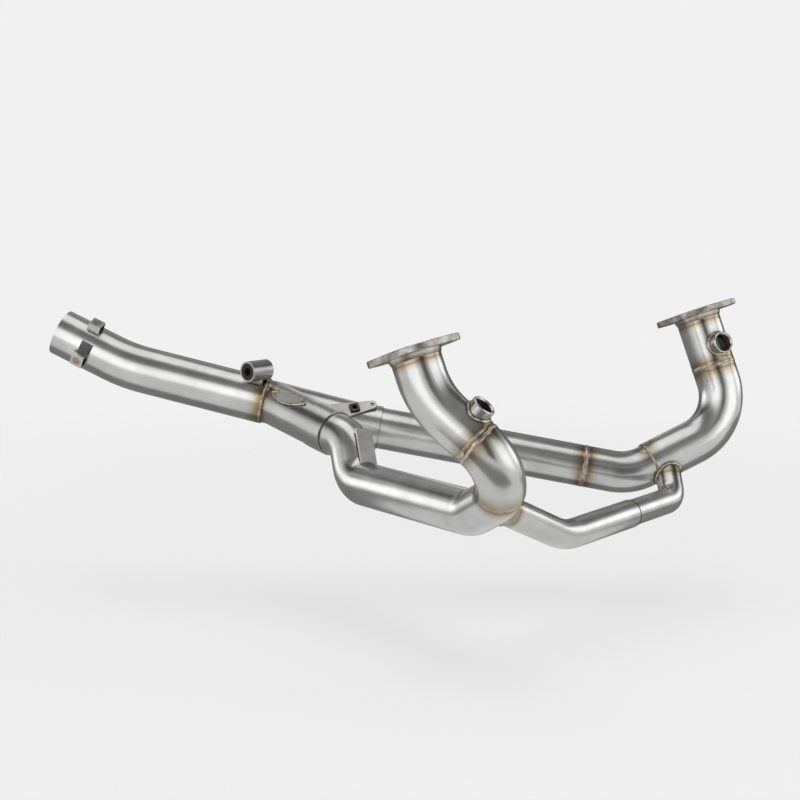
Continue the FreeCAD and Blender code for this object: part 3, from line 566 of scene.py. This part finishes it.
def threaded_boss(name, mount):
    """A round boss with a chamfered rim and a threaded bore, on the axis of its mount."""
    axis = Vector(mount["axis"]).normalized()
    across = axis.orthogonal().normalized()
    beside = axis.cross(across)
    offsets = vertices(name) - np.array(mount["pos_m"])
    heights = offsets @ np.array(axis)
    outside = np.linalg.norm(offsets - np.outer(heights, axis), axis=1).max()
    bore = mount["dims"]["r_mm"] * MM
    top = heights.max()
    foot = heights.min()
    mouth = bore + THREAD_DEPTH + BOSS_EDGE
    angles = 2 * math.pi * np.arange(LATHE_STEPS) / LATHE_STEPS
    profile = [(foot, outside), (top - BOSS_EDGE, outside), (top, outside - BOSS_EDGE), (top, mouth)]
    loops = [(np.full(LATHE_STEPS, height), np.full(LATHE_STEPS, radius)) for height, radius in profile]
    start = top - 2 * BOSS_EDGE
    for row in range(int((start - foot) / THREAD_PITCH * THREAD_STEPS)):
        height = start - row * THREAD_PITCH / THREAD_STEPS
        phase = (height / THREAD_PITCH + angles / (2 * math.pi)) % 1
        loops.append((np.full(LATHE_STEPS, height), bore + THREAD_DEPTH * np.abs(2 * phase - 1)))
    loops.append((np.full(LATHE_STEPS, foot), np.full(LATHE_STEPS, bore)))
    round_ways = np.outer(np.cos(angles), across) + np.outer(np.sin(angles), beside)
    rows = [np.array(mount["pos_m"]) + np.outer(height, axis) + round_ways * radius[:, None]
            for height, radius in loops]
    piece = skin(f"{name}_threaded", np.array(rows), boss_steel, name)
    piece.data.set_sharp_from_angle(angle=EDGE_ANGLE)
    # The thread's faces take the painted bore shade.
    piece.data.materials.append(bore_shade)
    for face in piece.data.polygons:
        row = face.index // LATHE_STEPS
        face.material_index = 1 if len(profile) - 1 < row < len(rows) - 1 else 0
    return piece


bosses = [
    threaded_boss("right_lambda_boss", mounts["right_lambda_thread"]),
    threaded_boss("left_lambda_boss", mounts["left_lambda_thread"]),
]
print("boss faces:", [len(boss.data.polygons) for boss in bosses])

# %% [markdown]
# ## Floor
# The pipe is held by its flanges, so the floor lies a little below it and only catches a soft shadow.
# A disc that fades out at its rim has no visible horizon, whichever way the camera turns.

# %% A pale floor that fades out
FLOOR_DROP = 90 * MM
FLOOR_RADIUS = 1.5
FLOOR_CORNERS = 96
FLOOR_COVER = 0.55
FADE_START = 0.3
FADE_END = 0.97 * FLOOR_RADIUS
pipe_centre = (cad_low + cad_high) / 2

bpy.ops.mesh.primitive_circle_add(vertices=FLOOR_CORNERS, radius=FLOOR_RADIUS, fill_type="NGON",
                                  location=(pipe_centre.x, pipe_centre.y, cad_low.z - FLOOR_DROP))
floor = bpy.context.object
floor.name = "floor"
paper, paper_tree, paper_surface, paper_place = blank("pale_studio_paper", 0.0)
paper_surface.inputs["Base Color"].default_value = linear("F4F4F4")
paper_surface.inputs["Roughness"].default_value = 0.9
paper_surface.inputs["Specular IOR Level"].default_value = 0.0
paper_away = add(paper_tree, "ShaderNodeVectorMath", {0: paper_place}, operation="LENGTH")
fade_span = {
    "Value": paper_away.outputs["Value"],
    "From Min": FADE_START,
    "From Max": FADE_END,
    "To Min": FLOOR_COVER,
    "To Max": 0.0,
}
paper_fade = add(paper_tree, "ShaderNodeMapRange", fade_span, interpolation_type="SMOOTHSTEP")
paper_tree.links.new(paper_fade.outputs[0], paper_surface.inputs["Alpha"])
floor.data.materials.append(paper)
print("floor at z in mm:", round(floor.location.z / MM))

# %% [markdown]
# ## Studio room
# Bare metal has no look of its own: it shows the room. Pale walls at eye level give the tubes a bright
# middle, and a darker ceiling gives them dark shoulders.
# The camera and the mirror rays see that room. Soft light from all round fills what they don't reach.

# %% Pale walls and a darker ceiling
FILL_LEVEL = 0.66
ROOM_STOPS = [(0.0, "F0F0F0"), (0.50, "F1F1F1"), (0.66, "F1F1F1"), (0.80, "8A8A8A"), (1.0, "7A7A7A")]

world = bpy.data.worlds.new("studio_room")
bpy.context.scene.world = world
world.use_nodes = True
room = world.node_tree
room.nodes.clear()
way = add(room, "ShaderNodeTexCoord").outputs["Generated"]
height = add(room, "ShaderNodeSeparateXYZ", {"Vector": way}).outputs["Z"]
level = add(room, "ShaderNodeMapRange", {"Value": height, "From Min": -1.0, "From Max": 1.0})
walls = add(room, "ShaderNodeValToRGB", {"Fac": level.outputs[0]}, stops=ROOM_STOPS)
seen = add(room, "ShaderNodeBackground", {"Color": walls.outputs["Color"], "Strength": 1.0})
fill = add(room, "ShaderNodeBackground", {"Color": linear("FFFFFF"), "Strength": FILL_LEVEL})
ray = add(room, "ShaderNodeLightPath").outputs
direct_rays = {0: ray["Is Camera Ray"], 1: ray["Is Glossy Ray"]}
direct = add(room, "ShaderNodeMath", direct_rays, operation="MAXIMUM")
clear_rays = {0: direct.outputs[0], 1: ray["Is Transmission Ray"]}
clear = add(room, "ShaderNodeMath", clear_rays, operation="MAXIMUM")
shown = add(room, "ShaderNodeMixShader", {0: clear.outputs[0], 1: fill.outputs[0], 2: seen.outputs[0]})
add(room, "ShaderNodeOutputWorld", {"Surface": shown.outputs[0]})
print("room:", world.name, "fill level:", FILL_LEVEL)

# %% [markdown]
# ## Lamps
# A long overhead lamp lays a streak along the top of the tubes, and four soft boxes stand round the pipe.
# Each is placed by its angle from the camera's side, its distance and its height.
# In a mirror, a lamp's brightness adds to the wall behind it, so lamps as bright as the walls are enough.

# %% Lamps round the pipe
VIEW_AZIMUTH = math.radians(41.72)
VIEW_HEIGHT = math.radians(8.22)
STRIP_RISE = 1.3
view_right = Vector((math.cos(VIEW_AZIMUTH), math.sin(VIEW_AZIMUTH), 0))
level_back = Vector((math.sin(VIEW_AZIMUTH), -math.cos(VIEW_AZIMUTH), 0))


def around(degrees, reach, rise):
    """A place round the pipe: degrees to the right of the camera's side, then distance and height."""
    turn = math.radians(degrees)
    outward = level_back * math.cos(turn) + view_right * math.sin(turn)
    return pipe_centre + outward * reach + Vector((0, 0, rise))


def face_pipe(item, at):
    """Put an item at a place and turn its face to the middle of the pipe."""
    bpy.context.scene.collection.objects.link(item)
    item.location = at
    item.rotation_mode = "QUATERNION"
    item.rotation_quaternion = (pipe_centre - at).to_track_quat("-Z", "Y")
    return item


def softbox(name, at, wide, tall, radiance):
    """A rectangular lamp of a given brightness to the eye."""
    lamp = bpy.data.lights.new(name, "AREA")
    lamp.shape = "RECTANGLE"
    lamp.size = wide
    lamp.size_y = tall
    lamp.energy = radiance * math.pi * wide * tall
    return face_pipe(bpy.data.objects.new(name, lamp), at)


lamps = [
    softbox("overhead_strip", pipe_centre + Vector((0, 0, STRIP_RISE)), 1.7, 0.8, 1.1),
    softbox("front_left_softbox", around(-30, 1.9, 0.5), 1.6, 1.4, 0.85),
    softbox("front_right_softbox", around(62, 1.9, 0.5), 1.4, 1.4, 0.85),
    softbox("left_softbox", around(-115, 1.9, 0.3), 1.3, 0.8, 0.95),
    softbox("right_softbox", around(106, 1.9, 0.45), 0.9, 0.7, 1.1),
]
print("lamps in watts:", [(lamp.name, round(lamp.data.energy, 1)) for lamp in lamps])

# %% [markdown]
# ## Grey flags
# Pale walls alone would make the tubes look flat. Photographers stand dull cards, called flags, beside
# shiny metal: their reflections draw the dark lines that show where a tube turns away.
# The camera doesn't see them.
# Two more flags lie just above the floor and darken what the undersides of the tubes reflect.

# %% Flags beside and below the pipe
FELT_NAP = 3 * MM
FLOOR_GAP = 4 * MM
DARK_FELT = ("424242", "4E4E4E")
GREY_FELT = ("6C6C6C", "7A7A7A")
MID_FELT = ("7C7C7C", "888888")
PALE_FELT = ("8A8A8A", "969696")


def flag(name, at, wide, tall, shades):
    """A dull card of felt that only mirror rays see."""
    felt, tree, surface, place = blank(f"{name}_felt", 0.0)
    dark, light = shades
    nap = add(tree, "ShaderNodeTexNoise", {"Vector": place, "Scale": 1 / FELT_NAP})
    shade = add(tree, "ShaderNodeValToRGB", {"Fac": nap.outputs["Fac"]}, stops=[(0.3, dark), (0.7, light)])
    surface.inputs["Roughness"].default_value = 1.0
    tree.links.new(shade.outputs["Color"], surface.inputs["Base Color"])
    half_wide = wide / 2
    half_tall = tall / 2
    corners = [(-half_wide, -half_tall, 0), (half_wide, -half_tall, 0),
               (half_wide, half_tall, 0), (-half_wide, half_tall, 0)]
    mesh = bpy.data.meshes.new(name)
    mesh.from_pydata(corners, [], [(0, 1, 2, 3)])
    mesh.materials.append(felt)
    card = face_pipe(bpy.data.objects.new(name, mesh), at)
    card.visible_camera = False
    card.visible_diffuse = False
    card.visible_shadow = False
    return card


flags = [
    flag("left_flag", around(-100, 1.2, 1.1), 1.6, 0.5, DARK_FELT),
    flag("front_flag", around(18, 1.8, 0.35), 0.6, 1.1, DARK_FELT),
    flag("right_flag", around(100, 1.2, 1.1), 1.2, 0.5, DARK_FELT),
    flag("upper_flag", around(0, 0.8, 1.35), 2.4, 0.4, MID_FELT),
    flag("far_left_flag", around(-152, 2.2, 0.2), 2.2, 1.8, GREY_FELT),
    flag("far_right_flag", around(148, 2.2, 0.2), 2.3, 1.8, GREY_FELT),
]
floor_rise = floor.location.z - pipe_centre.z + FLOOR_GAP
low_flags = [
    flag("front_low_flag", around(6, 0.62, floor_rise), 0.62, 0.34, PALE_FELT),
    flag("back_low_flag", around(180, 0.50, floor_rise), 2.2, 1.1, PALE_FELT),
]
for card in low_flags:
    card.rotation_quaternion = Quaternion((0, 0, 1), VIEW_AZIMUTH)
print("flags:", [card.name for card in flags + low_flags])

# %% [markdown]
# ## Camera
# The view is from the front right, a little above the pipe.
# A long lens keeps the near tubes from looking too large.

# %% Camera
CAMERA_AT = Vector((1071.2, -1217.5, 188.3)) * MM
LENS_MM = 85
SENSOR_MM = 36
view_back = level_back * math.cos(VIEW_HEIGHT) + Vector((0, 0, math.sin(VIEW_HEIGHT)))
camera_data = bpy.data.cameras.new("camera")
camera_data.lens = LENS_MM
camera_data.sensor_width = SENSOR_MM
camera = bpy.data.objects.new("camera", camera_data)
bpy.context.scene.collection.objects.link(camera)
camera.location = CAMERA_AT
camera.rotation_mode = "QUATERNION"
camera.rotation_quaternion = (-view_back).to_track_quat("-Z", "Y")
bpy.context.scene.camera = camera
bpy.context.scene.view_settings.view_transform = "Standard"
print("camera at mm:", [round(v / MM) for v in camera.location])
